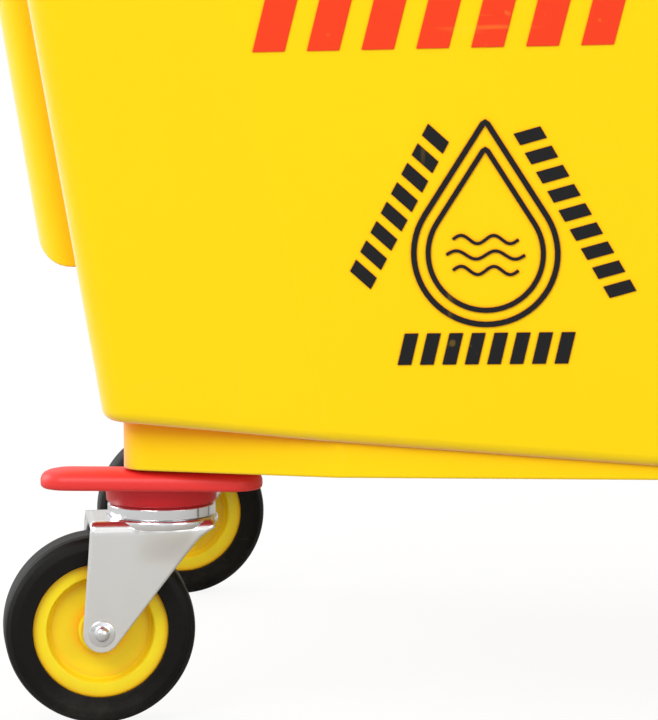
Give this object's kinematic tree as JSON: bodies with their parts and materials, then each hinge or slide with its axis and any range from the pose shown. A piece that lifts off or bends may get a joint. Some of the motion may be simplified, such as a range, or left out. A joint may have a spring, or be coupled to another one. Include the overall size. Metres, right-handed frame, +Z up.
{
  "type": "mop and bucket with wringer",
  "caption": "Wheeled mop bucket on swivel casters with a lever-driven side-press wringer and a telescopic string mop stored in it.",
  "frame": {"origin": "on the floor under the middle of the bucket", "axes": "+X along the bucket towards the wringer, +Y across it away from the lever's side, +Z up"},
  "size_m": [0.625, 0.442, 1.1591],
  "materials": {
    "bucket_yellow": "moulded, satin",
    "bumper_red": "moulded rubber, satin",
    "chrome": "polished plating",
    "steel": "plain",
    "hub_yellow": "moulded",
    "tyre": "black rubber",
    "nylon": "natural nylon",
    "gear_grey": "glass-filled nylon",
    "black_plastic": "moulded",
    "black_grip": "ribbed grip",
    "aluminium": "drawn tube, satin",
    "red_plastic": "moulded",
    "cotton": "twisted cotton strings"
  },
  "bodies": {
    "bucket": {"bucket_tub": "bucket_yellow", "near_left_bumper": "bumper_red", "near_left_caster_stem": "chrome", "near_right_bumper": "bumper_red", "near_right_caster_stem": "chrome", "far_left_bumper": "bumper_red", "far_left_caster_stem": "chrome", "far_right_bumper": "bumper_red", "far_right_caster_stem": "chrome"},
    "near_left_swivel_body": {"near_left_fork": "chrome", "near_left_axle": "steel", "near_left_thrust_washer": "nylon"},
    "near_left_wheel_body": {"near_left_hub": "hub_yellow", "near_left_tyre": "tyre"},
    "near_right_swivel_body": {"near_right_fork": "chrome", "near_right_axle": "steel", "near_right_thrust_washer": "nylon"},
    "near_right_wheel_body": {"near_right_hub": "hub_yellow", "near_right_tyre": "tyre"},
    "far_left_swivel_body": {"far_left_fork": "chrome", "far_left_axle": "steel", "far_left_thrust_washer": "nylon"},
    "far_left_wheel_body": {"far_left_hub": "hub_yellow", "far_left_tyre": "tyre"},
    "far_right_swivel_body": {"far_right_fork": "chrome", "far_right_axle": "steel", "far_right_thrust_washer": "nylon"},
    "far_right_wheel_body": {"far_right_hub": "hub_yellow", "far_right_tyre": "tyre"},
    "wringer": {"wringer_frame": "bucket_yellow", "front_grille": "bucket_yellow", "floor_grille": "bucket_yellow", "near_bush": "black_plastic", "far_bush": "black_plastic", "gear_cover": "bucket_yellow", "cover_screws": "steel"},
    "lever": {"lever_shaft": "steel", "near_pinion": "gear_grey", "far_pinion": "gear_grey", "shaft_clip": "steel", "lever_socket": "black_plastic", "lever_tube": "chrome", "lever_grip": "black_grip", "socket_bolts": "steel"},
    "press": {"press_plate": "bucket_yellow", "near_rack": "gear_grey", "far_rack": "gear_grey", "rack_screws": "steel"},
    "mop": {"mop_yarn": "cotton", "mop_socket": "red_plastic", "socket_pin": "steel", "lower_handle_tube": "aluminium"},
    "collar": {"lock_collar": "red_plastic"},
    "upper_handle": {"upper_handle_tube": "aluminium", "handle_grip": "black_grip", "end_cap": "red_plastic"}
  },
  "joints": [
    {"name": "near_left_swivel", "type": "hinge", "parent": "bucket", "child": "near_left_swivel_body", "pos_m": [-0.2135, -0.145, 0.0785], "axis": [0, 0, 1], "continuous": true},
    {"name": "near_left_roll", "type": "hinge", "parent": "near_left_swivel_body", "child": "near_left_wheel_body", "pos_m": [-0.23853, -0.14987, 0.038], "axis": [-0.1908, 0.9816, 0], "continuous": true},
    {"name": "near_right_swivel", "type": "hinge", "parent": "bucket", "child": "near_right_swivel_body", "pos_m": [0.2135, -0.145, 0.0785], "axis": [0, 0, 1], "continuous": true},
    {"name": "near_right_roll", "type": "hinge", "parent": "near_right_swivel_body", "child": "near_right_wheel_body", "pos_m": [0.18847, -0.14987, 0.038], "axis": [-0.1908, 0.9816, 0], "continuous": true},
    {"name": "far_left_swivel", "type": "hinge", "parent": "bucket", "child": "far_left_swivel_body", "pos_m": [-0.2135, 0.145, 0.0785], "axis": [0, 0, 1], "continuous": true},
    {"name": "far_left_roll", "type": "hinge", "parent": "far_left_swivel_body", "child": "far_left_wheel_body", "pos_m": [-0.23853, 0.14013, 0.038], "axis": [-0.1908, 0.9816, 0], "continuous": true},
    {"name": "far_right_swivel", "type": "hinge", "parent": "bucket", "child": "far_right_swivel_body", "pos_m": [0.2135, 0.145, 0.0785], "axis": [0, 0, 1], "continuous": true},
    {"name": "far_right_roll", "type": "hinge", "parent": "far_right_swivel_body", "child": "far_right_wheel_body", "pos_m": [0.18847, 0.14013, 0.038], "axis": [-0.1908, 0.9816, 0], "continuous": true},
    {"name": "wringer_lift", "type": "slide", "parent": "bucket", "child": "wringer", "axis": [0, 0, 1], "range_m": [0, 0.3]},
    {"name": "lever_pull", "type": "hinge", "parent": "wringer", "child": "lever", "pos_m": [0.236, 0, 0.4301], "axis": [0, 1, 0], "range_deg": [0, 95]},
    {"name": "press_slide", "type": "slide", "parent": "wringer", "child": "press", "axis": [-1, 0, 0], "range_m": [0, 0.04975]},
    {"name": "mop_lift", "type": "slide", "parent": "wringer", "child": "mop", "axis": [0, 0, 1], "range_m": [0, 0.45]},
    {"name": "handle_extend", "type": "slide", "parent": "mop", "child": "upper_handle", "axis": [0, 0, 1], "range_m": [0, 0.35]},
    {"name": "collar_twist", "type": "hinge", "parent": "mop", "child": "collar", "pos_m": [0.12, 0, 0.89], "axis": [0, 0, 1], "range_deg": [0, 90]}
  ],
  "couplings": [
    {"joint": "press_slide", "follows": "lever_pull", "m_per_rad": 0.03}
  ]
}
